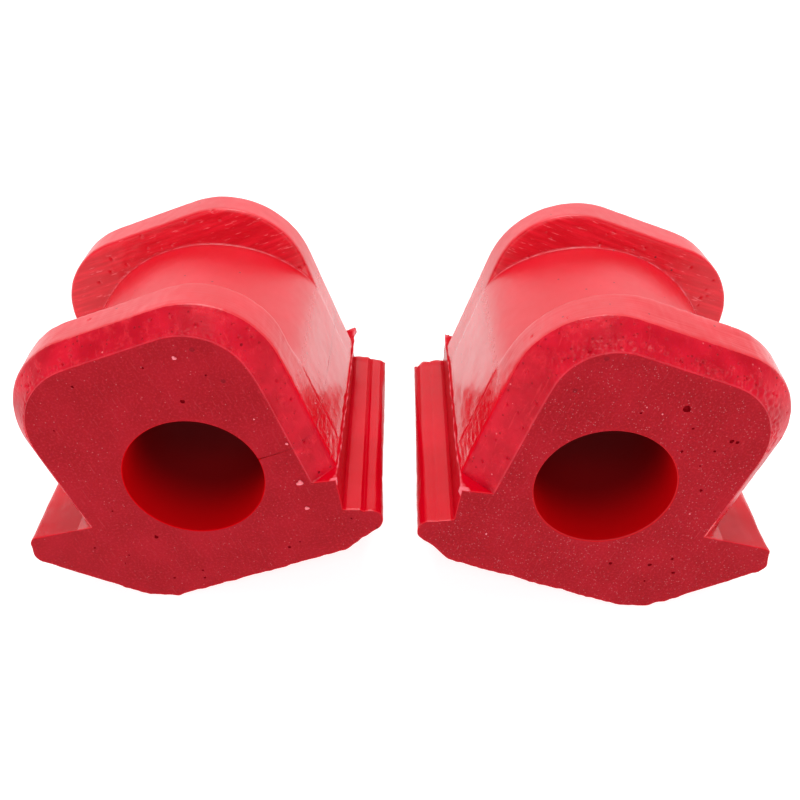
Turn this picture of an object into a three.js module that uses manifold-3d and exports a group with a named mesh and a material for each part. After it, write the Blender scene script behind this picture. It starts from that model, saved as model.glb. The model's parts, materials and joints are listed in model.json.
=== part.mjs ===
// A pair of anti-roll bar bushings: two one-piece cast elastomer blocks, the right one of the
// opposite hand. The bar runs through each bore along Y. A strap bracket lies in the saddle
// groove between the two end flanges, and the flat base seats on the subframe.
// Millimetres, +Z up, +X to the right, front faces towards -Y. The origin is at the centre of
// the pair's box, on the surface that the two lower edges stand on.

import * as THREE from 'three';
import * as BufferGeometryUtils from 'three/addons/utils/BufferGeometryUtils.js';
import Module from 'manifold-3d';

// ---- driving dimensions: section ----
// The section is drawn about the bore's axis: u towards the other bushing, w up from the base.
const BORE_RADIUS = 11;
const NECK_RADIUS = 23.4;         // floor of the saddle groove, concentric with the bore
const TILT = 20;                  // degrees that each block leans outwards

const SHELF = { u: 16, w: -6.9, fall: 0.19 };   // where the inner bevel ends, falling inwards
const WING_TOP = { u: -20, w: -3.6 };           // where the outer bevel ends
const BASE_LEVEL = -22.4;
const LEDGE = { u: 19.4, w: -13.9 };            // foot of the inner notch
const RAIL_TOP = { u: 22.9, w: -15.1 };
const BASE_INNER = { u: 16.6, w: BASE_LEVEL };
const BASE_OUTER = { u: -14.3, w: BASE_LEVEL };
const STAND_WIDTH = 4.7;                        // flat along the lower edge, level when leaning
const WING_UNDER = { u: -29.9, w: -9.6 };
const WING_NOSE = { u: -33.0, w: -6.6 };
const WING_EDGE = { u: -31.0, w: -2.4 };

// ---- driving dimensions: flanges ----
// An outline's inner and outer walls, its top, and the radii of its two upper corners.
const END_OUTLINE = { inner: 15.0, top: 22.9, outer: -19.0, innerRadius: 8.8, outerRadius: 10.6 };
const LEFT = {
  trim: 1.7,                      // ground off the front end
  slit: true,
  frontRim: { inner: 20.5, top: 27.5, outer: -22.7, innerRadius: 13.2, outerRadius: 14.2 },
  grooveFront: { inner: 20.8, top: 27.6, outer: -22.7, innerRadius: 13.0, outerRadius: 14.2 },
  grooveBack: { inner: 21.5, top: 28.0, outer: -22.2, innerRadius: 14.1, outerRadius: 13.4 },
  backRim: { inner: 21.6, top: 28.1, outer: -22.2, innerRadius: 15.4, outerRadius: 14.0 },
  railNose: { u: 24.8, w: -17.2 },
  railFoot: { u: 24.2, w: -19.0 },
};
const RIGHT = {
  trim: 0.6,
  slit: false,
  frontRim: { inner: 20.4, top: 26.5, outer: -23.4, innerRadius: 13.4, outerRadius: 12.4 },
  grooveFront: { inner: 20.7, top: 27.6, outer: -23.3, innerRadius: 16.6, outerRadius: 14.0 },
  grooveBack: { inner: 20.9, top: 27.4, outer: -21.7, innerRadius: 13.3, outerRadius: 12.8 },
  backRim: { inner: 21.2, top: 27.6, outer: -21.8, innerRadius: 15.6, outerRadius: 14.4 },
  railNose: { u: 24.2, w: -17.1 },
  railFoot: { u: 23.6, w: -19.0 },
};

// ---- driving dimensions: length ----
const BEVEL = 5;                  // depth of the bevel at each cast end
const LAND = 6.3;                 // width of each flange's rim
const GROOVE = 25.1;              // width of the saddle groove
const GROOVE_DRAFT = 0.4;
const SLIT_WIDTH = 0.3;           // fitting slit, from the bore to the inner wall

// ---- driving dimensions: placing ----
const BORE_SPACING = 63.6;        // between the two bore axes
const RIGHT_AHEAD = 2.4;          // the right bushing's front face stands nearer by this
const COLOURS = { left: 0xc92a38, right: 0xc42c3a };

// ---- fineness and working allowances ----
const CORNER_STEPS = 12;          // facets in each rounded corner
const NECK_STEPS = 25;
const NOSE_STEPS = 8;
const BORE_STEPS = 96;
const WELD = 1e-5;                // points nearer than this are one point
const ROOT = { u: 12, w: -13, depth: 2 };   // where the flanges run on inside the base block
const OVERLAP = 1;                // the base block's own reach up inside the flanges
const CUTTER = 200;               // wider than either bushing

const wasm = await Module();
wasm.setup();

const radians = THREE.MathUtils.degToRad;
const castLength = 2 * (BEVEL + LAND) + GROOVE;

// ---- solids ----
function toSolid(geometry) {
  const bare = geometry.index ? geometry.toNonIndexed() : geometry.clone();
  bare.deleteAttribute('normal');
  bare.deleteAttribute('uv');
  const merged = BufferGeometryUtils.mergeVertices(bare, WELD);
  const vertProperties = new Float32Array(merged.attributes.position.array);
  const triVerts = new Uint32Array(merged.index.array);
  return new wasm.Manifold(new wasm.Mesh({ numProp: 3, vertProperties, triVerts }));
}

function toGeometry(solid) {
  const mesh = solid.getMesh();
  const geometry = new THREE.BufferGeometry();
  geometry.setAttribute('position', new THREE.BufferAttribute(mesh.vertProperties, 3));
  geometry.setIndex(new THREE.BufferAttribute(mesh.triVerts, 1));
  geometry.computeVertexNormals();
  return geometry;
}

// A closed skin over outlines of equal point count, placed one behind the other along Y.
function loft(outlines) {
  const count = outlines[0].points.length;
  const positions = [];
  const index = [];
  for (const { points, y } of outlines) {
    for (const point of points) positions.push(point.x, y, point.y);
  }
  for (let ring = 0; ring + 1 < outlines.length; ring++) {
    for (let i = 0; i < count; i++) {
      const a = ring * count + i;
      const b = ring * count + (i + 1) % count;
      index.push(a, b, b + count, a, b + count, a + count);
    }
  }
  const last = (outlines.length - 1) * count;
  for (const [a, b, c] of THREE.ShapeUtils.triangulateShape(outlines[0].points, [])) {
    index.push(a, b, c);
  }
  for (const [a, b, c] of THREE.ShapeUtils.triangulateShape(outlines.at(-1).points, [])) {
    index.push(c + last, b + last, a + last);
  }
  const geometry = new THREE.BufferGeometry();
  geometry.setAttribute('position', new THREE.Float32BufferAttribute(positions, 3));
  geometry.setIndex(index);
  return toSolid(geometry);
}

// ---- outlines in the section plane, clockwise as seen from the front ----
function at({ u, w }) {
  return new THREE.Vector2(u, w);
}

function arc(centre, radius, from, to, steps) {
  const curve = new THREE.EllipseCurve(centre.x, centre.y, radius, radius, from, to, true);
  return curve.getPoints(steps);
}

function shelfAt(u) {
  return new THREE.Vector2(u, SHELF.w - SHELF.fall * (u - SHELF.u));
}

// An upper part's outline: the given crown, closed by a stretch that lies inside the base.
function closedBelow(crown, inner, outer) {
  const innerRoot = new THREE.Vector2(ROOT.u, ROOT.w);
  const outerRoot = new THREE.Vector2(-ROOT.u, ROOT.w);
  const outerFoot = new THREE.Vector2(outer, WING_TOP.w - ROOT.depth);
  return [outerFoot, ...crown, shelfAt(inner), innerRoot, outerRoot];
}

function flangeOutline({ inner, top, outer, innerRadius, outerRadius }) {
  const outerCentre = new THREE.Vector2(outer + outerRadius, top - outerRadius);
  const innerCentre = new THREE.Vector2(inner - innerRadius, top - innerRadius);
  const crown = [
    ...arc(outerCentre, outerRadius, Math.PI, Math.PI / 2, CORNER_STEPS),
    ...arc(innerCentre, innerRadius, Math.PI / 2, 0, CORNER_STEPS),
  ];
  return closedBelow(crown, inner, outer);
}

function neckOutline({ inner, outer }) {
  const axis = new THREE.Vector2(0, 0);
  const from = Math.acos(outer / NECK_RADIUS);
  const to = Math.acos(inner / NECK_RADIUS);
  return closedBelow(arc(axis, NECK_RADIUS, from, to, NECK_STEPS), inner, outer);
}

function baseOutline(wall, railNose, railFoot) {
  const slope = Math.tan(radians(TILT));
  const standRun = STAND_WIDTH * Math.cos(radians(TILT));
  const standOuter = new THREE.Vector2(BASE_OUTER.u - standRun, BASE_OUTER.w + standRun * slope);
  const wing = new THREE.SplineCurve([WING_UNDER, WING_NOSE, WING_EDGE].map(at));
  const nose = new THREE.SplineCurve([RAIL_TOP, railNose, railFoot].map(at));
  const outerReach = END_OUTLINE.outer + OVERLAP;
  const innerReach = END_OUTLINE.inner - OVERLAP;
  return [
    standOuter,
    ...wing.getPoints(NOSE_STEPS),
    at(WING_TOP),
    new THREE.Vector2(outerReach, WING_TOP.w),
    new THREE.Vector2(outerReach, 0),
    new THREE.Vector2(innerReach, 0),
    shelfAt(innerReach),
    shelfAt(wall),
    at(LEDGE),
    ...nose.getPoints(NOSE_STEPS),
    at(BASE_INNER),
    at(BASE_OUTER),
  ];
}

// ---- one bushing, leaning as it stands, with its front face at Y = 0 ----
function blankSolid(side) {
  const end = flangeOutline(END_OUTLINE);
  const frontRim = flangeOutline(side.frontRim);
  const backRim = flangeOutline(side.backRim);
  const grooveStart = BEVEL + LAND;
  const grooveEnd = grooveStart + GROOVE;
  const upper = loft([
    { points: end, y: 0 },
    { points: frontRim, y: BEVEL },
    { points: flangeOutline(side.grooveFront), y: grooveStart },
    { points: neckOutline(side.grooveFront), y: grooveStart + GROOVE_DRAFT },
    { points: neckOutline(side.grooveBack), y: grooveEnd - GROOVE_DRAFT },
    { points: flangeOutline(side.grooveBack), y: grooveEnd },
    { points: backRim, y: castLength - BEVEL },
    { points: end, y: castLength },
  ]);
  const lower = loft([
    { points: baseOutline(side.frontRim.inner, side.railNose, side.railFoot), y: 0 },
    { points: baseOutline(side.backRim.inner, side.railNose, side.railFoot), y: castLength },
  ]);
  return upper.add(lower);
}

function boreCutter() {
  const bore = new THREE.CylinderGeometry(BORE_RADIUS, BORE_RADIUS, CUTTER, BORE_STEPS);
  return toSolid(bore);
}

function slitCutter() {
  const reach = CUTTER / 2;
  const slit = new THREE.BoxGeometry(reach, CUTTER, SLIT_WIDTH);
  slit.translate(reach / 2, 0, 0);
  return toSolid(slit);
}

function trimCutter(trim) {
  const box = new THREE.BoxGeometry(CUTTER, CUTTER, CUTTER);
  box.translate(0, trim - CUTTER / 2, 0);
  return toSolid(box);
}

function bushingSolid(side) {
  const bored = blankSolid(side).subtract(boreCutter()).subtract(trimCutter(side.trim));
  const split = side.slit ? bored.subtract(slitCutter()) : bored;
  return split.translate([0, -side.trim, 0]).rotate([0, -TILT, 0]);
}

const leftSolid = bushingSolid(LEFT);
const rightSolid = bushingSolid(RIGHT).mirror([1, 0, 0]);

function bushingMesh(name, solid, colour) {
  const material = new THREE.MeshStandardMaterial({ color: colour, roughness: 0.45, metalness: 0 });
  const mesh = new THREE.Mesh(toGeometry(solid), material);
  mesh.name = name;
  return mesh;
}

const lean = radians(TILT);
const boreHeight = -(BASE_OUTER.u * Math.sin(lean) + BASE_OUTER.w * Math.cos(lean));
const depth = Math.max(castLength - LEFT.trim + RIGHT_AHEAD, castLength - RIGHT.trim);
const frontOfLeft = RIGHT_AHEAD - depth / 2;

const left = bushingMesh('bushing_left', leftSolid, COLOURS.left);
left.position.set(-BORE_SPACING / 2, frontOfLeft, boreHeight);
const right = bushingMesh('bushing_right', rightSolid, COLOURS.right);
right.position.set(BORE_SPACING / 2, frontOfLeft - RIGHT_AHEAD, boreHeight);

const pair = new THREE.Group();
pair.add(left, right);

export default pair;
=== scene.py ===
"""Looks for a pair of red cast polyurethane anti-roll bar bushings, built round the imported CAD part.

Each bushing is one skin. Its outline is worked out at eight stations along the bore, the corners
between the stations are rounded, and the moulding and grinding marks are pressed into the result.
Lengths in the shape code are millimetres in the section frame of the CAD source: u runs from the
bore's axis towards the other bushing, w runs up from it square to the base, and y runs back from the
front face.
"""

import json
import math

import bpy
import numpy as np
from mathutils import Matrix, Vector, geometry


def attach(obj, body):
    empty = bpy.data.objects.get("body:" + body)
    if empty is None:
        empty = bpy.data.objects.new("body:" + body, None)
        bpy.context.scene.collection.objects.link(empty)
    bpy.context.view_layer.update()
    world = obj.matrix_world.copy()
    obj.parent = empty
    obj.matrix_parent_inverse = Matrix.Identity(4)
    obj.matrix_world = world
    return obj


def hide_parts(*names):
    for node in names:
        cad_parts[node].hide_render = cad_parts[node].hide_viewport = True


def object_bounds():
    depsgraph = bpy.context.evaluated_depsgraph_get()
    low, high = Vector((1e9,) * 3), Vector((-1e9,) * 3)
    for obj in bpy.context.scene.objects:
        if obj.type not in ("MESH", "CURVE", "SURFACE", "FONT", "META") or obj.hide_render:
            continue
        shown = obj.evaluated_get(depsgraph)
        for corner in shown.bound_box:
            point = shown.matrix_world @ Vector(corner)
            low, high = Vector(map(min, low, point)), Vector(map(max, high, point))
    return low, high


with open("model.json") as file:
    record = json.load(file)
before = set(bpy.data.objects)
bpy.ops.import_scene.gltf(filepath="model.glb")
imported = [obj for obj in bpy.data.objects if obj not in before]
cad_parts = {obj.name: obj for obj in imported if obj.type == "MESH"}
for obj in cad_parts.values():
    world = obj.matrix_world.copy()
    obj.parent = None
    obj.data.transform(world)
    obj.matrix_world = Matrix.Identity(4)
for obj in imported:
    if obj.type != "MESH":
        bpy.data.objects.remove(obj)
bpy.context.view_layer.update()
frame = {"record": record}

MM = 0.001
SIDES = ("left", "right")
SEEDS = {"left": 1, "right": 2}

# ---- section, as in the CAD source ----
BORE_RADIUS = 11.0
NECK_RADIUS = 23.4
TILT = math.radians(20)
SHELF_U, SHELF_W, SHELF_FALL = 16.0, -6.9, 0.19
WING_TOP = (-20.0, -3.6)
WING_EDGE = (-31.0, -2.4)
BASE_LEVEL = -22.4
LEDGE = (19.4, -13.9)
RAIL_TOP = (22.9, -15.1)
BASE_INNER_U = 16.6
BASE_OUTER_U = -14.3
STAND_WIDTH = 4.7
WING_UNDER = (-29.9, -9.6)
WING_NOSE = (-33.0, -6.6)

# ---- lengths, as in the CAD source ----
BEVEL = 5.0
LAND = 6.3
GROOVE = 25.1
GROOVE_DRAFT = 0.4
CAST_LENGTH = 2 * (BEVEL + LAND) + GROOVE
SLIT_WIDTH = 0.15            # at the bore; it closes towards the inner wall
SLIT_CLOSED = 0.010
MOUNT_DROP = 16 * MM         # the record's front-face mount lies this far below the bore's axis

# An outline is: inner wall, top, outer wall, inner corner radius, outer corner radius.
END_OUTLINE = (15.0, 22.9, -19.0, 8.8, 10.6)
SHAPE = {
    "left": {
        "trim": 1.7,              # ground off the front bevel
        "slit": True,
        "front_rim": (20.5, 27.5, -22.7, 13.2, 14.2),
        "groove_front": (20.8, 27.6, -22.7, 13.0, 14.2),
        "groove_back": (21.5, 28.0, -22.2, 14.1, 13.4),
        "back_rim": (21.6, 28.1, -22.2, 15.4, 14.0),
        "rail_nose": (24.8, -17.2),
        "rail_foot": (24.2, -19.0),
        "seam": 0.45,             # depth of the step along the rail
    },
    "right": {
        "trim": 0.6,
        "slit": False,
        "front_rim": (20.4, 26.5, -23.4, 13.4, 12.4),
        "groove_front": (20.7, 27.6, -23.3, 16.6, 14.0),
        "groove_back": (20.9, 27.4, -21.7, 13.3, 12.8),
        "back_rim": (21.2, 27.6, -21.8, 15.6, 14.4),
        "rail_nose": (24.2, -17.1),
        "rail_foot": (23.6, -19.0),
        "seam": 0.16,
    },
}

# ---- fineness of the skin ----
RUN_POINTS = 60              # on each straight run of a dense outline
ARC_POINTS = 160
UPPER_POINTS = 520
WALL_POINTS = 120            # of them, those down the inner wall
FOOT_POINTS = 10
SHELF_POINTS = 14
WING_POINTS = 30
BORE_POINTS = 220
LIP_POINTS = 16
ROUND_POINTS = 7             # round each corner of the base
BASE_SPACING = 0.45
SEGMENT_STEPS = (22, 14, 4, 34, 18, 12, 10)    # rings on each stretch between stations
CORNER_SETBACK = (0.7, 0.9, 0.5, 0.45, 0.7, 1.0)
CORNER_STEPS = 6
MOST_SETBACK = 0.45          # the most of a stretch that rounding may take

# ---- easing ----
NECK_SOFTEN = 5.5            # degrees over which the neck's corners are eased
EDGE_EASE = 0.12             # chamfer round the ground front face
REAR_EASE = 0.35
WALL_TIP = (0.16, -0.12)     # how far the inner wall's foot stands out over the shelf
BASE_WAVER = 0.13            # waver of the trimmed base, with its two lengths
BASE_WAVES = (6.0, 1.8)
WAVER_BELOW, WAVER_BEYOND = -15.5, -27.0    # in w and in u, so only on the base and the wing's end
SHARP_ANGLE = math.radians(32)

SECTION = "section"          # each point's place in the section frame, in metres
PALE = "pale"                # how far each point is whitened, 0 to 1
SATIN = "satin"              # each point's roughness where the skin is as it left the mould
MOULDED, GROUND, BEVELLED, GROOVE_WALL, BORE, CUT, RAIL, NOTCH, PIT = range(9)
NECK_SATIN, FLANK_SATIN, WALL_SATIN, BASE_SATIN = 0.38, 0.15, 0.19, 0.16

# ---- stretches between the stations, in order ----
FRONT_BEVEL, FRONT_LAND, GROOVE_FRONT, NECK, GROOVE_REAR, REAR_LAND, REAR_BEVEL = range(7)

# ---- marks in the skin, as (height, length) where there are two numbers ----
WAVINESS = (0.03, 9.0)
RIPPLE = (0.016, 2.4)
FLOW_LINES = (0.014, 1.0)    # on the groove's rear wall
CRUST = (0.11, 0.9)          # on the bevel, close behind the front face
CRUST_DEPTH = {"left": 1.0, "right": 2.4}
CRUST_PITS = {"left": 3, "right": 10}
DRAG_MARKS = (0.02, 1.4)     # on the front land
RAIL_LUMPS = (0.3, 3.0)      # at the rails' rear ends
RAIL_SLUMP = 0.5
FLASH_REACH = 0.10           # along the foot of the inner wall
FLASH_WAVER = (0.12, 3.2)
FLASH_NUB = {"left": 0.25, "right": 0.55}
FLASH_REAR = 0.12
BORE_EDGE_PALE = 0.15

# ---- telling the parts of an outline apart ----
EDGE_SLACK = 0.05
WALL_SLACK = 0.9             # the inner wall leans out by this much towards the rear
WALL_TOP = 12.0


# ======================================================================= section outlines
def shelf_level(u):
    return SHELF_W - SHELF_FALL * (u - SHELF_U)


def wing_level(u):
    slope = (WING_EDGE[1] - WING_TOP[1]) / (WING_EDGE[0] - WING_TOP[0])
    return WING_TOP[1] + slope * (u - WING_TOP[0])


def arc(centre, radius, start, end, points=ARC_POINTS):
    angles = np.linspace(start, end, points)
    return np.column_stack([np.cos(angles), np.sin(angles)]) * radius + np.array(centre)


def upright(u, low, high):
    return np.column_stack([np.full(RUN_POINTS, u), np.linspace(low, high, RUN_POINTS)])


def by_angle(dense, count, soften=0.0):
    """The dense line resampled at equal angles about the bore's axis."""
    angles = np.unwrap(np.arctan2(dense[:, 1], dense[:, 0]))
    radii = np.hypot(dense[:, 0], dense[:, 1])
    at = np.linspace(angles[0], angles[-1], count)
    radius = np.interp(-at, -angles, radii)
    if soften:
        step = abs(math.degrees(at[1] - at[0]))
        reach = int(3 * soften / step)
        weights = np.exp(-0.5 * (np.arange(-reach, reach + 1) * step / soften) ** 2)
        padded = np.pad(radius, reach, mode="reflect", reflect_type="odd")
        radius = np.convolve(padded, weights / weights.sum(), mode="valid")
    return np.column_stack([radius * np.cos(at), radius * np.sin(at)])


def flange_line(outline):
    """From the wing, over the top of a flange, to the shelf."""
    inner, top, outer, inner_radius, outer_radius = outline
    across = np.linspace(outer + outer_radius, inner - inner_radius, RUN_POINTS)
    dense = np.vstack([
        upright(outer, wing_level(outer), top - outer_radius),
        arc((outer + outer_radius, top - outer_radius), outer_radius, math.pi, math.pi / 2),
        np.column_stack([across, np.full(RUN_POINTS, top)]),
        arc((inner - inner_radius, top - inner_radius), inner_radius, math.pi / 2, 0),
        upright(inner, top - inner_radius, shelf_level(inner)),
    ])
    return by_angle(dense, UPPER_POINTS)


def neck_line(outline):
    """The same way round the neck, between a flange's inner and outer walls."""
    inner, _, outer, _, _ = outline
    start = math.acos(outer / NECK_RADIUS)
    end = math.acos(inner / NECK_RADIUS)
    crown = arc((0, 0), NECK_RADIUS, start, end)
    dense = np.vstack([
        upright(outer, wing_level(outer), crown[0, 1]),
        crown,
        upright(inner, crown[-1, 1], shelf_level(inner)),
    ])
    return by_angle(dense, UPPER_POINTS, NECK_SOFTEN)


def eased(corners):
    """A line through corners of (u, w, setback), each corner rounded over its setback."""
    points = [np.array(corners[0][:2])]
    for before, corner, after in zip(corners, corners[1:], corners[2:]):
        a, b, c = (np.array(p[:2]) for p in (before, corner, after))
        reach_in = min(corner[2], MOST_SETBACK * np.linalg.norm(b - a))
        reach_out = min(corner[2], MOST_SETBACK * np.linalg.norm(c - b))
        start = b + (a - b) / np.linalg.norm(a - b) * reach_in
        end = b + (c - b) / np.linalg.norm(c - b) * reach_out
        for t in np.linspace(0, 1, ROUND_POINTS):
            points.append((1 - t) ** 2 * start + 2 * t * (1 - t) * b + t ** 2 * end)
    points.append(np.array(corners[-1][:2]))
    line = [points[0]]
    for a, b in zip(points, points[1:]):
        steps = max(1, int(np.linalg.norm(b - a) / BASE_SPACING))
        for k in range(1, steps + 1):
            line.append(a + (b - a) * k / steps)
    return np.array(line)


def base_line(shape):
    """From the foot of the inner notch, over the double rail, round the base, to the top of the wing."""
    nose, seam = shape["rail_nose"], shape["seam"]
    run = STAND_WIDTH * math.cos(TILT)
    stand_outer = (BASE_OUTER_U - run, BASE_LEVEL + run * math.tan(TILT))
    return eased([
        (*LEDGE, 0),
        (nose[0] - 2.75, RAIL_TOP[1] + 0.25, 0.2),                # the step along the rail
        (nose[0] - 2.45, RAIL_TOP[1] + 0.15 - seam, 0.2),
        (nose[0] - 2.0, RAIL_TOP[1] - 0.02 - 0.6 * seam, 0.35),
        (nose[0] - 1.0, nose[1] + 1.55, 0.8),                     # its nose
        (nose[0] - 0.2, nose[1] + 0.65, 0.7),
        (nose[0] - 0.05, nose[1] - 0.4, 0.8),
        (*shape["rail_foot"], 0.6),
        (BASE_INNER_U, BASE_LEVEL, 0.8),
        (BASE_OUTER_U, BASE_LEVEL, 0.5),
        (*stand_outer, 0.5),
        (*WING_UNDER, 2.0),
        (*WING_NOSE, 1.9),
        (*WING_EDGE, 1.3),
        (*WING_TOP, 0),
    ])[:-1]


def weathered(line, y, seed):
    """The line with the slight waver of a hand-trimmed base."""
    along = np.gradient(line, axis=0)
    across = np.column_stack([-along[:, 1], along[:, 0]])
    across /= np.maximum(np.linalg.norm(across, axis=1)[:, None], 1e-9)
    place = np.column_stack([line, np.full(len(line), y * 0.3)])
    slow, quick = BASE_WAVES
    waver = BASE_WAVER * (waves(place, slow, seed) + 0.7 * waves(place, quick, seed + 1))
    low = np.clip((WAVER_BELOW - line[:, 1]) / 1.5, 0, 1)
    low = low + np.clip((WAVER_BEYOND - line[:, 0]) / 2, 0, 1)
    ends = np.minimum(np.arange(len(line)), np.arange(len(line))[::-1]) / 8
    return line + across * (waver * np.minimum(low, 1) * np.minimum(ends, 1))[:, None]


def between(a, b, steps):
    """Points from a to b, without b."""
    t = np.linspace(0, 1, steps, endpoint=False)[:, None]
    return np.asarray(a) + (np.asarray(b) - np.asarray(a)) * t


# ======================================================================= seeded marks
def waves(points, length, seed, count=36):
    """Smooth random relief, about -1 to 1, with features of the given length."""
    rng = np.random.default_rng(seed)
    directions = rng.normal(size=(count, points.shape[1]))
    directions /= np.linalg.norm(directions, axis=1)[:, None]
    numbers = 2 * math.pi / length * directions * rng.uniform(0.6, 1.5, (count, 1))
    phases = rng.uniform(0, 2 * math.pi, count)
    return np.cos(points @ numbers.T + phases).sum(1) * math.sqrt(2 / count) * 0.6


def press(points, normals, where, radius, depth):
    """Presses a round pit, or raises a lump when depth is negative, into the skin at a point."""
    distance = np.linalg.norm(points - where, axis=1) / radius
    near = distance < 1
    fall = (1 - distance[near] ** 2) ** 1.5
    points[near] -= normals[near] * (depth * fall)[:, None]


# ======================================================================= place in the row frame
def place(side):
    """The section frame's place in the row frame, from the record's front-face mount."""
    mounts = {mount["name"]: mount for mount in frame["record"]["mounts"]}
    point = Vector(mounts[f"{side}_front_face"]["pos_m"])
    sign = 1 if side == "left" else -1
    turn = Matrix.Rotation(-sign * TILT, 4, "Y")
    up = turn.to_3x3() @ Vector((0, 0, 1))
    return Matrix.Translation(point + up * MOUNT_DROP) @ turn


# ======================================================================= one bushing's skin
def outer_loops(side):
    """The outer outline at each station, as (y, points), from the front face to the rear one."""
    shape = SHAPE[side]
    trim = shape["trim"]
    share = trim / BEVEL
    end = flange_line(END_OUTLINE)
    rim = flange_line(shape["front_rim"])
    groove_front, groove_back, back_rim = shape["groove_front"], shape["groove_back"], shape["back_rim"]
    groove_start, groove_end = BEVEL + LAND, BEVEL + LAND + GROOVE
    stations = [
        (trim, end * (1 - share) + rim * share, shape["front_rim"][0]),
        (BEVEL, rim, shape["front_rim"][0]),
        (groove_start, flange_line(groove_front), groove_front[0]),
        (groove_start + GROOVE_DRAFT, neck_line(groove_front), groove_front[0]),
        (groove_end - GROOVE_DRAFT, neck_line(groove_back), groove_back[0]),
        (groove_end, flange_line(groove_back), groove_back[0]),
        (CAST_LENGTH - BEVEL, flange_line(back_rim), back_rim[0]),
        (CAST_LENGTH, end, back_rim[0]),
    ]
    base = base_line(shape)
    loops = []
    for y, upper, wall in stations:
        foot = upper[-1]
        tip = np.array([wall + WALL_TIP[0], shelf_level(wall) + WALL_TIP[1]])
        loops.append((y - trim, np.vstack([
            upper[:-1],
            between(foot, tip, FOOT_POINTS),
            between(tip, LEDGE, SHELF_POINTS),
            weathered(base, y, SEEDS[side]),
            between(base[-1], upper[0], WING_POINTS)[1:],
        ])))
    return loops


def in_space(loop, y):
    """A flat loop of (u, w) as points of (u, y, w)."""
    return np.column_stack([loop[:, 0], np.full(len(loop), y), loop[:, 1]])


def skin_rings(stations):
    """Stations joined by straight stretches, with a rounded corner at each inner station."""
    points = [in_space(loop, y) for y, loop in stations]
    rings, kinds, corners = [points[0]], [], {}
    start = points[0]
    for j, steps in enumerate(SEGMENT_STEPS):
        here, after = points[j], points[j + 1]
        last = j == len(SEGMENT_STEPS) - 1
        length = np.linalg.norm(after - here, axis=1)[:, None]
        stop = after
        if not last:
            stop = after - (after - here) * np.minimum(MOST_SETBACK, CORNER_SETBACK[j] / length)
        for k in range(1, steps + 1):
            rings.append(start + (stop - start) * k / steps)
            kinds.append(j)
        if last:
            break
        beyond = points[j + 2]
        length = np.linalg.norm(beyond - after, axis=1)[:, None]
        start_next = after + (beyond - after) * np.minimum(MOST_SETBACK, CORNER_SETBACK[j] / length)
        for k in range(1, CORNER_STEPS + 1):
            t = k / CORNER_STEPS
            rings.append((1 - t) ** 2 * stop + 2 * t * (1 - t) * after + t ** 2 * start_next)
            kinds.append(j if t <= 0.5 else j + 1)
        corners[j + 1] = len(rings) - 1 - CORNER_STEPS // 2
        start = start_next
    return np.array(rings), kinds, corners


def ring_normals(rings):
    """Outward unit normals of a skin of rings, from its neighbouring points."""
    along = np.roll(rings, -1, axis=1) - np.roll(rings, 1, axis=1)
    back = np.gradient(rings, axis=0)
    normals = np.cross(along, back)
    size = np.linalg.norm(normals, axis=2, keepdims=True)
    return normals / np.maximum(size, 1e-9)


def inset(loop, distance):
    """A flat clockwise loop drawn in towards its material."""
    along = np.roll(loop, -1, axis=0) - np.roll(loop, 1, axis=0)
    normal = np.column_stack([-along[:, 1], along[:, 0]])
    normal /= np.maximum(np.linalg.norm(normal, axis=1)[:, None], 1e-9)
    return loop - normal * distance


def inside(points, loops):
    """Whether each point is inside an odd number of the loops."""
    hits = np.zeros(len(points), int)
    for loop in loops:
        a, b = loop, np.roll(loop, -1, axis=0)
        for (x0, z0), (x1, z1) in zip(a, b):
            crosses = (z0 > points[:, 1]) != (z1 > points[:, 1])
            if crosses.any():
                level = x0 + (points[:, 1] - z0) * (x1 - x0) / (z1 - z0 if z1 != z0 else 1)
                hits += crosses & (points[:, 0] < level)
    return hits % 2 == 1


def cap(loops):
    """Triangles over the flat region that the loops bound, wound anticlockwise in u and w."""
    flat = np.vstack(loops)
    edges, first = [], 0
    for loop in loops:
        count = len(loop)
        edges += [(first + i, first + (i + 1) % count) for i in range(count)]
        first += count
    result = geometry.delaunay_2d_cdt([Vector(p) for p in flat], edges, [], 0, 1e-7, True)
    origins = [ids[0] if ids else -1 for ids in result[3]]
    triangles = np.array([[origins[k] for k in face] for face in result[2]])
    triangles = triangles[(triangles >= 0).all(1)]
    return triangles[inside(flat[triangles].mean(1), loops)]


def bowl(centre, radius, depth, points, ragged):
    """The rim and inner rings of a pit in the front face, or of a crumb on it when depth is negative."""
    rng = np.random.default_rng(int(abs(centre[0] * 31 + centre[1] * 57) * 10))
    angles = -np.arange(points) * 2 * math.pi / points
    wobble = 1 + ragged * (np.cos(3 * angles + centre[0]) + 0.7 * np.cos(2 * angles + centre[1]))
    wobble = wobble + ragged * rng.uniform(-0.6, 0.6, points)
    rim = np.column_stack([np.cos(angles), np.sin(angles)]) * (radius * wobble)[:, None] + centre
    levels = [(0.92, 0.45), (0.66, 0.85), (0.3, 1.0)]
    beyond = [(centre + (rim - centre) * k, depth * d) for k, d in levels]
    return rim, beyond


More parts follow.
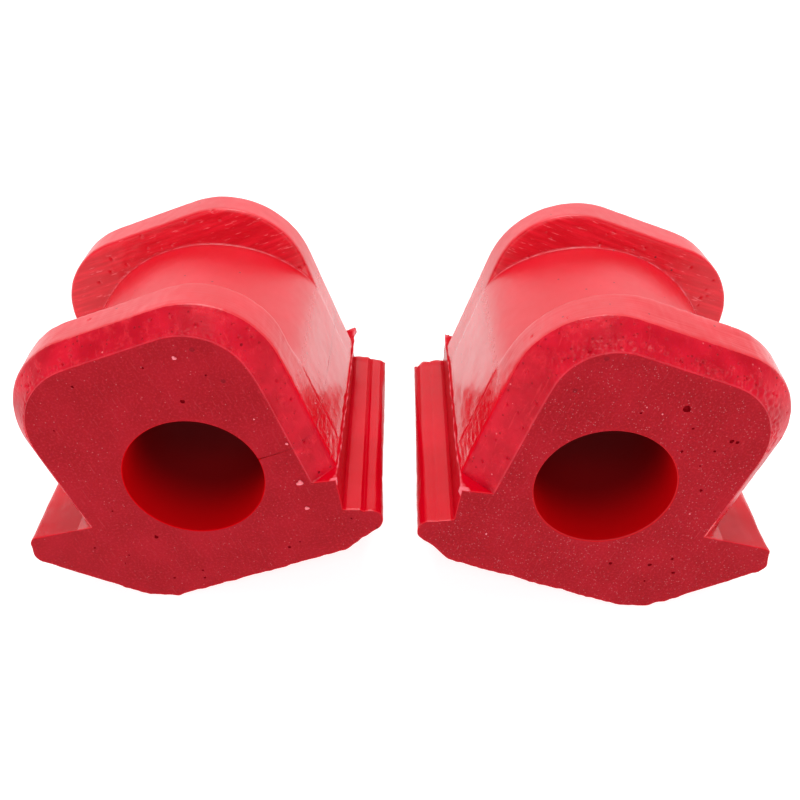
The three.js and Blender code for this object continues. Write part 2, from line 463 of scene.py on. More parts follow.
# Places of the larger bubbles that grinding has opened, as (u, w, radius).
FACE_BUBBLES = {
    "left": [
        (10.5, 16.7, 0.17), (5.2, 13.7, 0.36), (-11.4, -9.0, 0.36), (2.6, 20.9, 0.18),
        (-8.6, 21.5, 0.22), (8.1, -18.5, 0.26), (10.2, -18.0, 0.16), (-7.7, -18.4, 0.2),
        (-8.2, -20.1, 0.22), (-13.0, -18.4, 0.22), (-22.1, -7.7, 0.2), (-17.6, -11.1, 0.16),
        (-15.3, -1.6, 0.16), (20.0, -16.1, 0.18), (-15.4, 15.5, 0.15), (-19.1, -12.5, 0.15),
    ],
    "right": [
        (-4.2, 17.5, 0.6), (-13.4, 14.6, 0.36), (-14.3, 14.7, 0.3), (-6.8, 14.7, 0.22),
        (-8.1, -14.0, 0.3), (-14.3, -12.1, 0.34), (-17.1, -9.7, 0.26), (-18.8, -12.4, 0.3),
        (-12.0, 12.1, 0.22), (-7.4, 10.4, 0.24), (-14.0, 4.7, 0.26), (1.7, 14.6, 0.2),
        (-15.3, -15.7, 0.2), (-11.4, 8.9, 0.16),
    ],
}
# Places of the larger crumbs that stand on the face, as (u, w, radius).
FACE_CRUMBS = {
    "left": [
        (15.2, -6.4, 0.5), (14.2, -11.6, 0.36), (7.6, 20.9, 0.34), (16.4, 1.3, 0.22), (13.7, 7.2, 0.14),
    ],
    "right": [(13.5, -14.9, 0.18), (-1.3, 15.5, 0.14), (1.4, 15.8, 0.12), (-14.8, -0.1, 0.16)],
}
# How they are made: depth in radii, points round the rim, raggedness, whitening, material.
BUBBLE_MAKE = (1.1, 14, 0.09, 0.0, PIT)
CRUMB_MAKE = (-0.75, 11, 0.20, 1.0, GROUND)


def bushing_mesh(side, materials):
    """With a slit there is one loop at each station, and without there are the outline and the bore."""
    seed = SEEDS[side]
    loops_by_station = []
    for y, loop in outer_loops(side):
        if SHAPE[side]["slit"]:
            loop = split_at_slit(loop, SLIT_CLOSED / 2)
            start = math.asin(SLIT_WIDTH / 2 / BORE_RADIUS)
            bore = arc((0, 0), BORE_RADIUS, start, 2 * math.pi - start, BORE_POINTS)
            wall_low, wall_high = loop[0], loop[-1]
            upper_lip = between(wall_high, bore[0], LIP_POINTS)[1:]
            lower_lip = between(bore[-1], wall_low, LIP_POINTS)[1:]
            loops_by_station.append((y, [np.vstack([loop, upper_lip, bore, lower_lip])]))
        else:
            bore = arc((0, 0), BORE_RADIUS, 0, 2 * math.pi, BORE_POINTS + 1)[:-1]
            loops_by_station.append((y, [loop, bore]))
    skin = Skin(mirror=side == "right")
    for k in range(len(loops_by_station[0][1])):
        rings, kinds, corners = skin_rings([(y, loops[k]) for y, loops in loops_by_station])
        depth = rings[-1][0, 1]
        front = inset(rings[0][:, [0, 2]], EDGE_EASE)
        rear = inset(rings[-1][:, [0, 2]], REAR_EASE)
        rings[0][:, 1] = EDGE_EASE
        rings[-1][:, 1] = depth - REAR_EASE
        rings = np.concatenate([in_space(front, 0.0)[None], rings, in_space(rear, depth)[None]])
        kinds = [FRONT_BEVEL] + kinds + [REAR_BEVEL]
        corners = {station: ring + 1 for station, ring in corners.items()}
        layout = Layout(rings, kinds, corners, side)
        if layout.outer.any():
            roughen(rings, layout, side, seed)
        skin.add_rings(rings, layout.face_kinds(), layout.pale(seed), layout.satin())
    add_front(skin, side)
    add_rear(skin)
    return finish_mesh(side, skin, materials)


class Skin:
    """Points, faces and their kinds, gathered until the mesh is made."""

    def __init__(self, mirror):
        self.mirror = mirror
        self.points, self.pale, self.satin, self.quads, self.tris = [], [], [], [], []
        self.quad_kinds, self.tri_kinds, self.tri_flat = [], [], []
        self.front_loops, self.rear_loops = [], []
        self.count = 0

    def add_points(self, points, pale, satin=NECK_SATIN):
        index = np.arange(self.count, self.count + len(points))
        self.points.append(np.asarray(points))
        self.pale.append(np.broadcast_to(pale, len(points)).astype(float))
        self.satin.append(np.broadcast_to(satin, len(points)).astype(float))
        self.count += len(points)
        return index

    def add_rings(self, rings, kinds, pale, satin):
        index = self.add_points(rings.reshape(-1, 3), pale.reshape(-1), satin.reshape(-1))
        index = index.reshape(rings.shape[:2])
        after = np.roll(index, -1, axis=1)
        faces = np.stack([index[:-1], after[:-1], after[1:], index[1:]], axis=-1).reshape(-1, 4)
        self.quads.append(faces[:, ::-1] if self.mirror else faces)
        self.quad_kinds.append(kinds)
        self.front_loops.append((index[0], rings[0][:, [0, 2]]))
        self.rear_loops.append((index[-1], rings[-1][:, [0, 2]]))

    def add_triangles(self, triangles, kind, turned=False, flat=False):
        """Triangles wound for the left bushing; turned ones are wound the other way."""
        same = turned == self.mirror
        self.tris.append(triangles if same else triangles[:, ::-1])
        self.tri_kinds.append(np.full(len(triangles), kind))
        self.tri_flat.append(np.full(len(triangles), flat))


class Layout:
    """What each point and face of a ring skin belongs to."""

    def __init__(self, rings, kinds, corners, side):
        self.rings, self.kinds, self.corners, self.side = rings, kinds, corners, side
        middle = rings[len(rings) // 2]
        self.u, self.w = middle[:, 0], middle[:, 2]
        shape = SHAPE[side]
        wall_u = shape["groove_front"][0] + WALL_SLACK
        nose_u = shape["rail_nose"][0]
        self.bore = np.hypot(self.u, self.w) < BORE_RADIUS + EDGE_SLACK
        in_slit = (np.abs(self.w) < SLIT_WIDTH * 0.9) & (self.u > 0) & (self.u < wall_u - 1.2)
        self.lip = in_slit & ~self.bore & shape["slit"]
        self.outer = ~self.bore & ~self.lip
        above_shelf = self.w > shelf_level(self.u) + EDGE_SLACK
        above_wing = self.w > wing_level(self.u) + EDGE_SLACK
        self.upper = self.outer & above_shelf & above_wing
        self.wall = self.upper & (self.u > wall_u - 2.0) & (self.w < WALL_TOP)
        self.rail = self.outer & ~self.upper & (self.u > BASE_INNER_U + 1)
        side_face = self.u > nose_u - 0.75
        seam = (self.u > nose_u - 2.8) & (self.u < nose_u - 2.05) & (self.w > -16.2)
        foot = self.w > LEDGE[1] - 0.1
        self.notch = self.rail & (foot | side_face | (seam & shape["slit"]))
        self.wing = self.outer & ~self.upper & (self.u < WING_TOP[0] - 3)

    def face_kinds(self):
        """The material of each quad."""
        result = np.full((len(self.rings) - 1, len(self.u)), MOULDED)
        for r, kind in enumerate(self.kinds):
            if kind in (FRONT_BEVEL, REAR_BEVEL):
                result[r, self.upper] = BEVELLED
            elif kind == GROOVE_REAR:
                result[r, self.upper & ~self.wall] = GROOVE_WALL
        result[:, self.rail | self.wing] = RAIL
        result[:, self.notch] = NOTCH
        result[:, self.bore] = BORE
        result[:, self.lip] = CUT
        return result.reshape(-1)

    def satin(self):
        """How dull the moulded skin is: the neck most, then the inner wall, the base and the flank."""
        down = np.clip((15.0 - self.w) / 11.0, 0, 1)
        down = down * down * (3 - 2 * down) * (self.u > 8)
        line = np.where(self.upper, NECK_SATIN + (WALL_SATIN - NECK_SATIN) * down, BASE_SATIN)
        flank = np.clip((-8.0 - self.u) / 8.0, 0, 1) * self.upper
        line = line + (FLANK_SATIN - NECK_SATIN) * flank
        return np.broadcast_to(line, self.rings.shape[:2]).copy()

    def foot_of_wall(self):
        """The point of the outline where the inner wall meets the shelf."""
        level = np.abs(self.w - shelf_level(self.u)) < 0.25
        return int(np.argmax(np.where(self.outer & level, self.u, -99)))

    def pale(self, seed):
        """Where the skin is whitened by thin flash, worn edges and stretched corners."""
        result = np.zeros(self.rings.shape[:2])
        if not self.outer.any():
            result[1:3] = BORE_EDGE_PALE
            return result
        noise = waves(self.rings.reshape(-1, 3), 1.6, seed + 70).reshape(result.shape)
        tip = self.foot_of_wall()
        for step, amount in ((-1, 0.1), (0, 0.5), (1, 0.1)):
            result[:, tip + step] = np.clip(amount + 0.6 * noise[:, tip + step], 0, 1)
        groove_rear, groove_front, bevel_back = (self.corners[station] for station in (4, 2, 1))
        result[groove_rear, self.upper] = 0.4 + 0.4 * noise[groove_rear, self.upper]
        result[groove_front, self.upper] = 0.25 + 0.3 * noise[groove_front, self.upper]
        flank = self.upper & (self.u < self.u.min() * 0.5) & (self.w < 13)
        ahead = np.array([1.0 if kind in (FRONT_BEVEL, FRONT_LAND) else 0.0 for kind in self.kinds] + [0.0])
        strip = np.clip(1.2 * noise + 0.1, 0, 0.85) * ahead[:, None]
        near_bevel = np.exp(-((np.arange(len(ahead)) - bevel_back) / 7.0) ** 2)[:, None]
        result = np.where(flank, np.maximum(result, strip * near_bevel), result)
        result[1, self.outer] = 0.12
        result[1:6, tip - 2:tip + 3] = 0.8
        result[[0, -1]] = 0    # the rings that carry the flat faces, which would smear it
        return np.clip(result, 0, 1)


def split_at_slit(loop, half):
    """The loop turned to start below the slit's mouth on the inner wall and end above it."""
    tail = np.arange(UPPER_POINTS - WALL_POINTS, UPPER_POINTS - 1)
    crossing = [np.interp(-level, -loop[tail, 1], tail) for level in (half, -half)]
    index = np.arange(len(loop))
    above = np.linspace(UPPER_POINTS - WALL_POINTS, crossing[0], WALL_POINTS * 3 // 4)
    below = np.linspace(crossing[1], UPPER_POINTS, WALL_POINTS // 4)

    def sample(at):
        return np.column_stack([np.interp(at, index, loop[:, k]) for k in (0, 1)])

    return np.vstack([
        sample(below)[:-1],
        loop[UPPER_POINTS:],
        loop[:UPPER_POINTS - WALL_POINTS],
        sample(above),
    ])


def swell(points, mark, seed):
    """Relief of a mark given as (height, length)."""
    height, length = mark
    return height * waves(points, length, seed)


def roughen(rings, layout, side, seed):
    """Moulding marks: waviness, pits in the bevels, flow lines on the groove's wall, ragged flash."""
    normal = ring_normals(rings).reshape(-1, 3)
    flat = rings.reshape(-1, 3).copy()
    u, y, w = flat.T
    length = y.max()
    outer = np.tile(layout.outer, len(rings))
    upper = np.tile(layout.upper, len(rings))
    body = outer & (y > EDGE_EASE + 0.05)
    kinds = np.repeat(np.array(layout.kinds + [REAR_BEVEL]), rings.shape[1])
    rear_wall = upper & (kinds == GROOVE_REAR) & (np.hypot(u, w) > NECK_RADIUS + 0.3)
    relief = swell(flat, WAVINESS, seed) + swell(flat, RIPPLE, seed + 10)
    flow = swell(flat * np.array([0.2, 1.0, 1.0]), FLOW_LINES, seed + 20)
    relief = relief + np.where(rear_wall, flow, 0)
    crust = np.clip((CRUST_DEPTH[side] - y) / 0.8, 0, 1) * np.clip((w - 12) / 4, 0, 1)
    relief = relief + np.where(upper, crust * swell(flat, CRUST, seed + 30), 0)
    drag = swell(flat * np.array([1.0, 0.35, 1.0]), DRAG_MARKS, seed + 35)
    on_land = upper & (kinds >= FRONT_LAND) & (kinds <= GROOVE_FRONT)
    relief = relief + np.where(on_land, drag, 0)
    flat[body] += normal[body] * relief[body, None]
    lump = np.exp(-((length - y) / 1.6) ** 2) * swell(flat, RAIL_LUMPS, seed + 50)
    slump = RAIL_SLUMP * np.clip(1 - (length - y) / 1.4, 0, 1) ** 2
    lift = np.tile(layout.rail, len(rings)) & (w > BASE_LEVEL + 5)
    flat[lift] += normal[lift] * (lump - slump)[lift][:, None]
    rng = np.random.default_rng(seed + 40)

    def pits(where, count, smallest, largest, depth):
        for k in rng.choice(np.flatnonzero(where), count):
            size = rng.uniform(smallest, largest)
            press(flat, normal, flat[k].copy(), size, size * depth)

    bevel = body & upper & (y < BEVEL - SHAPE[side]["trim"] - 0.4) & (y > 0.45)
    pits(bevel, 26, 0.2, 0.34, 0.9)
    crusted = bevel & (y < CRUST_DEPTH[side]) & (w > 14)    # found after the first pits, which move it
    pits(crusted, CRUST_PITS[side], 0.3, 0.5, 0.9)
    pits(rear_wall, 14, 0.22, 0.38, 0.8)
    pits(body & upper & (kinds == FRONT_LAND), 6, 0.2, 0.34, 0.9)
    add_flash(flat, normal, layout, rings.shape, seed)
    rings[:] = flat.reshape(rings.shape)


def add_flash(flat, normal, layout, shape, seed):
    """Ragged flash along the inner wall's foot, with blobs at both of its ends."""
    tip = layout.foot_of_wall()
    grid = flat.reshape(shape)
    line = grid[:, tip].copy()
    y = line[:, 1]
    reach = FLASH_REACH + swell(line, FLASH_WAVER, seed + 60)
    reach = reach + FLASH_NUB[layout.side] * np.exp(-(y / 0.7) ** 2)
    reach = reach + FLASH_REAR * np.exp(-((y.max() - y) / 0.8) ** 2)
    for step, share in ((-2, 0.25), (-1, 0.7), (0, 1.0), (1, 0.7), (2, 0.25)):
        move = (reach * share)[:, None] * normal.reshape(shape)[:, tip + step]
        move[:2] = 0
        grid[:, tip + step] += move


def add_front(skin, side):
    """The ground front face, with real bowls for its opened bubbles and lumps for its crumbs."""
    loops = [points for _, points in skin.front_loops]
    index = [ids for ids, _ in skin.front_loops]
    marks = [(*row, *BUBBLE_MAKE) for row in FACE_BUBBLES[side]]
    marks += [(*row, *CRUMB_MAKE) for row in FACE_CRUMBS[side]]
    inner = []
    for u, w, radius, share, points, ragged, pale, kind in marks:
        rim, beyond = bowl(np.array([u, w]), radius, radius * share, points, ragged)
        loops.append(rim)
        rim_index = skin.add_points(in_space(rim, 0.0), 0.0)
        index.append(rim_index)
        inner.append((rim_index, beyond, pale, kind))
    triangles = cap(loops)
    skin.add_triangles(np.concatenate(index)[triangles], GROUND, turned=True, flat=True)
    for previous, beyond, pale, kind in inner:
        for ring, depth in beyond:
            current = skin.add_points(in_space(ring, depth), pale)
            after, next_ring = np.roll(previous, -1), np.roll(current, -1)
            skin.add_triangles(np.column_stack([previous, after, next_ring]), kind, turned=True)
            skin.add_triangles(np.column_stack([previous, next_ring, current]), kind, turned=True)
            previous = current
        ring, depth = beyond[-1]
        centre = ring.mean(0)
        middle = skin.add_points([[centre[0], depth, centre[1]]], pale)
        fan = np.column_stack([previous, np.roll(previous, -1), np.full(len(previous), middle[0])])
        skin.add_triangles(fan, kind, turned=True)


def add_rear(skin):
    """The flat rear face."""
    triangles = cap([points for _, points in skin.rear_loops])
    index = np.concatenate([ids for ids, _ in skin.rear_loops])
    skin.add_triangles(index[triangles], CUT, flat=True)


def finish_mesh(side, skin, materials):
    """The gathered skin as a mesh in its place in the row frame."""
    section = np.vstack(skin.points) * MM
    local = section * np.array([-1 if side == "right" else 1, 1, 1])
    turn = np.array(place(side))
    points = local @ turn[:3, :3].T + turn[:3, 3]
    quad_faces = np.vstack(skin.quads)
    tri_faces = np.vstack(skin.tris)
    mesh = bpy.data.meshes.new(f"bushing_{side}_skin")
    mesh.vertices.add(len(points))
    mesh.vertices.foreach_set("co", points.ravel())
    corners = np.concatenate([quad_faces.ravel(), tri_faces.ravel()])
    mesh.loops.add(len(corners))
    mesh.loops.foreach_set("vertex_index", corners)
    sizes = np.concatenate([np.full(len(quad_faces), 4), np.full(len(tri_faces), 3)])
    mesh.polygons.add(len(sizes))
    mesh.polygons.foreach_set("loop_start", np.concatenate([[0], np.cumsum(sizes)[:-1]]))
    for material in materials:
        mesh.materials.append(material)
    mesh.polygons.foreach_set("material_index", np.concatenate(skin.quad_kinds + skin.tri_kinds))
    mesh.update(calc_edges=True)
    mesh.attributes.new(SECTION, "FLOAT_VECTOR", "POINT").data.foreach_set("vector", section.ravel())
    for name, values in ((PALE, skin.pale), (SATIN, skin.satin)):
        values = np.concatenate(values).astype(np.float32)
        mesh.attributes.new(name, "FLOAT", "POINT").data.foreach_set("value", values)
    mesh.validate()
    flat = np.concatenate([np.zeros(len(quad_faces), bool)] + skin.tri_flat)
    mesh.polygons.foreach_set("use_smooth", ~flat)
    mesh.set_sharp_from_angle(angle=SHARP_ANGLE)
    return mesh


# ======================================================================= materials
class Graph:
    """Short forms for building one material's nodes."""

    SOCKETS = {
        "colour": "Base Color",
        "roughness": "Roughness",
        "normal": "Normal",
        "specular": "Specular IOR Level",
        "scatter": "Subsurface Weight",
        "scatter_radius": "Subsurface Radius",
        "scatter_scale": "Subsurface Scale",
        "emission": "Emission Color",
        "glow": "Emission Strength",
    }

    def __init__(self, name):
        self.material = bpy.data.materials.new(name)
        self.material.use_nodes = True
        self.tree = self.material.node_tree
        self.shader = self.tree.nodes["Principled BSDF"]
        self.place = None

    def node(self, kind, inputs=None, **settings):
        node = self.tree.nodes.new("ShaderNode" + kind)
        for key, value in settings.items():
            setattr(node, key, value)
        for key, value in (inputs or {}).items():
            self.feed(node.inputs[key], value)
        return node

    def feed(self, target, value):
        if isinstance(value, bpy.types.NodeSocket):
            self.tree.links.new(value, target)
        else:
            target.default_value = value

    def coordinates(self):
        """Each point's place in the section frame, in metres, from one node."""
        if self.place is None:
            self.place = self.node("Attribute", attribute_name=SECTION).outputs["Vector"]
        return self.place

    def attribute(self, name):
        return self.node("Attribute", attribute_name=name).outputs["Fac"]

    def depth(self):
        """How far back from the front face, in metres."""
        return self.node("SeparateXYZ", {0: self.coordinates()}).outputs[1]

    def add(self, a, b):
        return self.node("Math", {0: a, 1: b}, operation="ADD").outputs[0]

    def less(self, a, b):
        return self.node("Math", {0: a, 1: b}, operation="SUBTRACT").outputs[0]

    def times(self, a, b):
        return self.node("Math", {0: a, 1: b}, operation="MULTIPLY").outputs[0]

    def stretched(self, scale, turn=(0, 0, 0)):
        """The coordinates scaled unevenly and turned, for a long-grained pattern."""
        inputs = {"Vector": self.coordinates(), "Scale": scale, "Rotation": turn}
        return self.node("Mapping", inputs).outputs[0]

    def noise(self, scale, vector=None, detail=3.0, roughness=0.55):
        vector = vector or self.coordinates()
        inputs = {"Vector": vector, "Scale": scale, "Detail": detail, "Roughness": roughness}
        return self.node("TexNoise", inputs).outputs["Fac"]

    def grain(self, scale, turn=(0, 0, 0), detail=3.0, roughness=0.55):
        return self.noise(1.0, self.stretched(scale, turn), detail, roughness)

    def step(self, value, low, high, out_low=0.0, out_high=1.0):
        inputs = {0: value, 1: low, 2: high, 3: out_low, 4: out_high}
        return self.node("MapRange", inputs, interpolation_type="SMOOTHSTEP").outputs[0]

    def mix(self, share, a, b):
        node = self.node("Mix", data_type="RGBA")
        self.feed(node.inputs["Factor"], share)
        colours = [s for s in node.inputs if s.type == "RGBA"]
        self.feed(colours[0], a)
        self.feed(colours[1], b)
        return [s for s in node.outputs if s.type == "RGBA"][0]

    def bump(self, height, distance):
        return self.node("Bump", {"Height": height, "Distance": distance, "Strength": 1.0}).outputs[0]

    def dots(self, scale, radius, share, shift):
        """Round dots in a share of the cells of a grid with the given scale."""
        vector = self.node("Mapping", {"Vector": self.coordinates(), "Location": (shift,) * 3}).outputs[0]
        cells = self.node("TexVoronoi", {"Vector": vector, "Scale": scale})
        parts = self.node("SeparateColor", {0: cells.outputs["Color"]}).outputs
        chosen = self.step(parts[0], 1 - share, 1 - share + 0.02)
        size = self.times(parts[1], radius)
        dot = self.step(self.less(size, cells.outputs["Distance"]), 0.0, radius * 0.25)
        return self.times(dot, chosen)

    def set(self, **values):
        for key, value in values.items():
            self.feed(self.shader.inputs[self.SOCKETS[key]], value)
        return self.material

    def skin(self, colour, **values):
        """The bushing's shader, with its colour whitened where the mesh says so."""
        return self.set(colour=self.mix(self.attribute(PALE), colour, PALE_COLOUR), **values)


SCATTER = dict(scatter=0.25, scatter_radius=(1.0, 0.08, 0.06), scatter_scale=0.003)
PALE_COLOUR = (0.85, 0.20, 0.24, 1)


def ground_material(side):
    """The ground front face: matt, finely scratched two ways, with dust on the right one."""
    deep, middling, light = (0.315, 0.0012, 0.0075, 1), (0.37, 0.0025, 0.0115, 1), (0.43, 0.008, 0.019, 1)
    scratched, dusted, pit = (0.58, 0.06, 0.08, 1), (0.75, 0.30, 0.33, 1), (0.12, 0.0, 0.005, 1)
    dust_share = 0.40 if side == "right" else 0.08
    graph = Graph(f"ground_{side}")
    mottle = graph.noise(140, detail=4.0)
    fine = graph.noise(2600, detail=2.0)
    steep = graph.step(graph.grain((2600, 300, 260), (0, math.radians(24), 0)), 0.6, 0.72)
    level = graph.step(graph.grain((420, 300, 3000), (0, math.radians(8), 0)), 0.62, 0.74)
    colour = graph.mix(graph.step(mottle, 0.35, 0.7), deep, middling)
    colour = graph.mix(graph.step(fine, 0.45, 0.75), colour, light)
    colour = graph.mix(graph.times(steep, 0.18), colour, scratched)
    colour = graph.mix(graph.times(level, 0.12), colour, scratched)
    pits = graph.dots(scale=560, radius=0.26, share=0.06, shift=0.3)
    colour = graph.mix(pits, colour, pit)
    dust = graph.dots(scale=3300, radius=0.40, share=dust_share, shift=1.7)
    colour = graph.mix(graph.times(dust, 0.2), colour, dusted)
    relief = graph.add(graph.times(fine, 0.4), graph.times(steep, 0.25))
    relief = graph.less(relief, graph.times(pits, 1.6))
    normal = graph.bump(relief, 0.00006)
    return graph.skin(colour, roughness=0.62, specular=0.12, normal=normal, **SCATTER)


def moulded_material(side):
    """The skin as it left the mould: satin with fine lines on the neck, glossy and dragged elsewhere."""
    deep, light, speck = (0.70, 0.001, 0.012, 1), (0.78, 0.003, 0.020, 1), (0.20, 0.0, 0.006, 1)
    land_back, land_ahead = 0.0102, 0.0090
    graph = Graph(f"moulded_{side}")
    colour = graph.mix(graph.step(graph.noise(90), 0.3, 0.75), deep, light)
    specks = graph.dots(scale=900, radius=0.22, share=0.12, shift=3.3)
    colour = graph.mix(graph.times(specks, 0.7), colour, speck)
    satin = graph.attribute(SATIN)
    glossy = graph.step(satin, NECK_SATIN - 0.03, WALL_SATIN)
    lines = graph.grain((50, 1900, 50), detail=2.0)
    drags = graph.step(graph.grain((60, 900, 320), (math.radians(38), 0, 0)), 0.58, 0.7)
    fine = graph.noise(900)
    line_share = graph.step(graph.depth(), land_back, land_ahead, 0.15, 1.5)
    lined = graph.add(graph.times(lines, line_share), graph.times(fine, 0.2))
    dragged = graph.add(graph.times(drags, 0.35), graph.times(fine, 0.3))
    relief = graph.add(lined, graph.times(glossy, graph.less(dragged, lined)))
    roughness = graph.add(satin, graph.times(graph.step(fine, 0.3, 0.8), 0.05))
    normal = graph.bump(relief, 0.00004)
    return graph.skin(colour, roughness=roughness, specular=0.95, normal=normal, **SCATTER)


def bevel_material(side):
    """The bevels: mottled and scuffed, with dark specks, pits and a little dust."""
    deep, light = (0.45, 0.001, 0.012, 1), (0.64, 0.006, 0.025, 1)
    scratched, smudged, dusted = (0.86, 0.05, 0.07, 1), (0.86, 0.03, 0.05, 1), (0.9, 0.28, 0.30, 1)
    speck = (0.26, 0.0, 0.006, 1)
    graph = Graph(f"bevel_{side}")
    colour = graph.mix(graph.step(graph.noise(160), 0.3, 0.7), deep, light)
    scratch = graph.step(graph.grain((2600, 300, 300), (0, math.radians(30), 0)), 0.6, 0.72)
    colour = graph.mix(graph.times(scratch, 0.22), colour, scratched)
    specks = graph.dots(scale=1500, radius=0.34, share=0.40, shift=3.3)
    colour = graph.mix(graph.times(specks, 0.55), colour, speck)
    smudge = graph.step(graph.noise(420, detail=5.0, roughness=0.7), 0.5, 0.72)
    colour = graph.mix(graph.times(smudge, 0.4), colour, smudged)
    pits = graph.dots(scale=760, radius=0.2, share=0.12, shift=0.9)
    colour = graph.mix(pits, colour, speck)
    dust = graph.dots(scale=1700, radius=0.30, share=0.05, shift=2.1)
    colour = graph.mix(graph.times(dust, 0.5), colour, dusted)
    relief = graph.less(graph.times(graph.noise(1800), 0.6), graph.times(pits, 1.2))
    relief = graph.add(relief, graph.times(smudge, 0.5))
    relief = graph.less(relief, graph.times(specks, 0.8))
    normal = graph.bump(relief, 0.00010)
    return graph.skin(colour, roughness=0.36, specular=0.16, normal=normal, **SCATTER)


def wall_material(side):
    """The groove's rear wall: flow lines, pale scratches and dark pits."""
    deep, light = (0.62, 0.001, 0.012, 1), (0.78, 0.008, 0.026, 1)
    scratched, pit = (0.95, 0.22, 0.25, 1), (0.14, 0.0, 0.005, 1)
    graph = Graph(f"groove_wall_{side}")
    flow = graph.grain((110, 400, 1300), detail=4.0, roughness=0.6)
    colour = graph.mix(graph.step(flow, 0.35, 0.7), deep, light)
    scratch = graph.step(graph.grain((420, 300, 2600)), 0.62, 0.74)
    colour = graph.mix(graph.times(scratch, 0.5), colour, scratched)
    pits = graph.dots(scale=520, radius=0.26, share=0.16, shift=0.5)
    colour = graph.mix(pits, colour, pit)
    relief = graph.add(flow, graph.times(graph.noise(1800), 0.3))
    normal = graph.bump(relief, 0.00007)
    return graph.skin(colour, roughness=0.32, specular=0.4, normal=normal, **SCATTER)


def bore_material(side):
    """The bore, with painted shade: its colour darkens with depth back from its front edge, in place of the
    shade that falls deep inside it.
    """
    # painted shade: the bore's colour runs from its lighter mouth to a dark colour 14 mm in, where little
    # light reaches
    mouth_colour, painted_shade_colour, painted_shade_depth = (0.62, 0.0003, 0.003, 1), (0.21, 0.0003, 0.002, 1), 0.014
    graph = Graph(f"bore_{side}")
    colour = graph.mix(graph.step(graph.depth(), 0.0, painted_shade_depth), mouth_colour, painted_shade_colour)
    normal = graph.bump(graph.grain((120, 500, 120)), 0.00004)
    return graph.skin(colour, roughness=0.6, specular=0.02, normal=normal)


def cut_material(side):
    """The slit's lips and the rear face."""
    deep, light = (0.40, 0.003, 0.010, 1), (0.46, 0.007, 0.016, 1)
    graph = Graph(f"cut_{side}")
    grain = graph.noise(900, detail=4.0)
    colour = graph.mix(graph.step(grain, 0.35, 0.7), deep, light)
    normal = graph.bump(grain, 0.00008)
    return graph.skin(colour, roughness=0.55, specular=0.18, normal=normal, **SCATTER)


def low_gloss(name, side, deep, light, specular):
    """Smooth skin that shows little of its surroundings."""
    graph = Graph(f"{name}_{side}")
    colour = graph.mix(graph.step(graph.noise(90), 0.3, 0.75), deep, light)
    pits = graph.dots(scale=480, radius=0.24, share=0.05, shift=0.7)
    relief = graph.less(graph.times(graph.noise(900), 0.4), pits)
    normal = graph.bump(relief, 0.00003)
    return graph.skin(colour, roughness=0.24, specular=specular, normal=normal, **SCATTER)


def rail_material(side):
    """The rails and the wing."""
    return low_gloss("rail", side, (0.58, 0.001, 0.010, 1), (0.66, 0.003, 0.016, 1), specular=0.24)


def notch_material(side):
    """The notch between the shelf and the rail, and the rail's side, which face the other bushing."""
    return low_gloss("notch", side, (0.52, 0.0005, 0.008, 1), (0.58, 0.001, 0.012, 1), specular=0.03)


def pit_material(side):
    """The insides of the opened bubbles."""
    deep, light = (0.20, 0.0, 0.004, 1), (0.34, 0.001, 0.008, 1)
    graph = Graph(f"pit_{side}")
    return graph.skin(graph.mix(graph.noise(2200, detail=2.0), deep, light), roughness=0.6, specular=0.05)


MATERIAL_MAKERS = {
    MOULDED: moulded_material,
    GROUND: ground_material,
    BEVELLED: bevel_material,
    GROOVE_WALL: wall_material,
    BORE: bore_material,
    CUT: cut_material,
    RAIL: rail_material,
    NOTCH: notch_material,
    PIT: pit_material,
}


# ======================================================================= the two bushings
for side in SIDES:
    materials = [MATERIAL_MAKERS[kind](side) for kind in sorted(MATERIAL_MAKERS)]
    skin = bpy.data.objects.new(f"bushing_{side}_skin", bushing_mesh(side, materials))
    bpy.context.scene.collection.objects.link(skin)
    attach(skin, side)
    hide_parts(f"bushing_{side}")


# ======================================================================= floor, light and camera
FLOOR_SIZE = 8.0
FLOOR_GREY = (0.45, 0.45, 0.45, 1)    # mid grey, so that the pale floor throws little red back
FLOOR_GLOW = 0.80                     # what makes it look white
BACKDROP_RADIUS, BACKDROP_HEIGHT, BACKDROP_SIDES = 3.9, 1.0, 64
AMBIENT = 0.38
WHITE = (1, 1, 1, 1)
LIT_POINT = (0, 0, 0.025)
SOFTBOXES = (    # name, width and height, place, power
    ("back_box", (2.6, 0.9), (0, 1.1, 0.75), 5.8),
    ("top_box", (0.5, 0.4), (0, 0.12, 1.1), 6.2),
    ("front_box", (0.8, 0.3), (0, -0.9, 0.85), 5.0),
)
CAMERA_PITCH = math.radians(35.065)
CAMERA_PLACE = (0.0003, -0.1351, 0.1204)
CAMERA_LENS, CAMERA_SENSOR = 42.525, 36    # millimetres
CAMERA_NEAR = 0.01


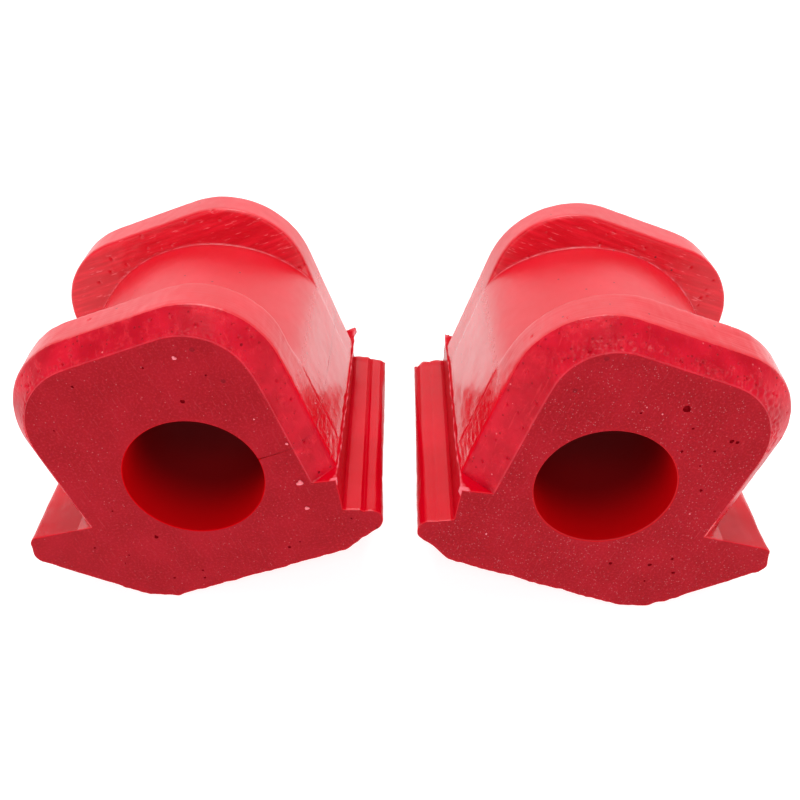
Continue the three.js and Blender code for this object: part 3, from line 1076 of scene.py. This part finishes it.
def stage_mesh(name, points, faces, material):
    """A mesh that isn't part of the object."""
    mesh = bpy.data.meshes.new(name)
    mesh.from_pydata(points, [], faces)
    mesh.materials.append(material)
    thing = bpy.data.objects.new(name, mesh)
    bpy.context.scene.collection.objects.link(thing)


def floor_material():
    return Graph("floor").set(colour=FLOOR_GREY, roughness=0.8, emission=WHITE, glow=FLOOR_GLOW)


def floor(level, material):
    h = FLOOR_SIZE / 2
    points = [(-h, -h, level), (h, -h, level), (h, h, level), (-h, h, level)]
    stage_mesh("floor", points, [(0, 1, 2, 3)], material)


def backdrop(level, material):
    """A bright low wall round the floor, so that no view looks past the floor's edge."""
    n, radius = BACKDROP_SIDES, BACKDROP_RADIUS
    angles = [2 * math.pi * k / n for k in range(n)]
    ring = [(radius * math.cos(a), radius * math.sin(a)) for a in angles]
    points = [(x, y, z) for z in (level, BACKDROP_HEIGHT) for x, y in ring]
    faces = [(k, (k + 1) % n, n + (k + 1) % n, n + k) for k in range(n)]
    stage_mesh("backdrop", points, faces, material)


def softbox(name, size, location, power):
    light = bpy.data.lights.new(name, "AREA")
    light.shape = "RECTANGLE"
    light.size, light.size_y = size
    light.energy = power
    thing = bpy.data.objects.new(name, light)
    thing.location = location
    aim = Vector(LIT_POINT) - Vector(location)
    thing.rotation_euler = aim.to_track_quat("-Z", "Y").to_euler()
    thing.visible_camera = False
    bpy.context.scene.collection.objects.link(thing)


floor_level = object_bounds()[0][2]
stage_white = floor_material()
floor(floor_level, stage_white)
backdrop(floor_level, stage_white)
for box in SOFTBOXES:
    softbox(*box)

world = bpy.data.worlds.new("studio")
bpy.context.scene.world = world
world.use_nodes = True
world.node_tree.nodes["Background"].inputs["Color"].default_value = WHITE
world.node_tree.nodes["Background"].inputs["Strength"].default_value = AMBIENT

camera_data = bpy.data.cameras.new("camera")
camera_data.sensor_width = CAMERA_SENSOR
camera_data.lens = CAMERA_LENS
camera_data.clip_start = CAMERA_NEAR
camera = bpy.data.objects.new("camera", camera_data)
camera.location = CAMERA_PLACE
camera.rotation_euler = (math.pi / 2 - CAMERA_PITCH, 0, 0)
bpy.context.scene.collection.objects.link(camera)
bpy.context.scene.camera = camera
bpy.context.scene.view_settings.view_transform = "Standard"
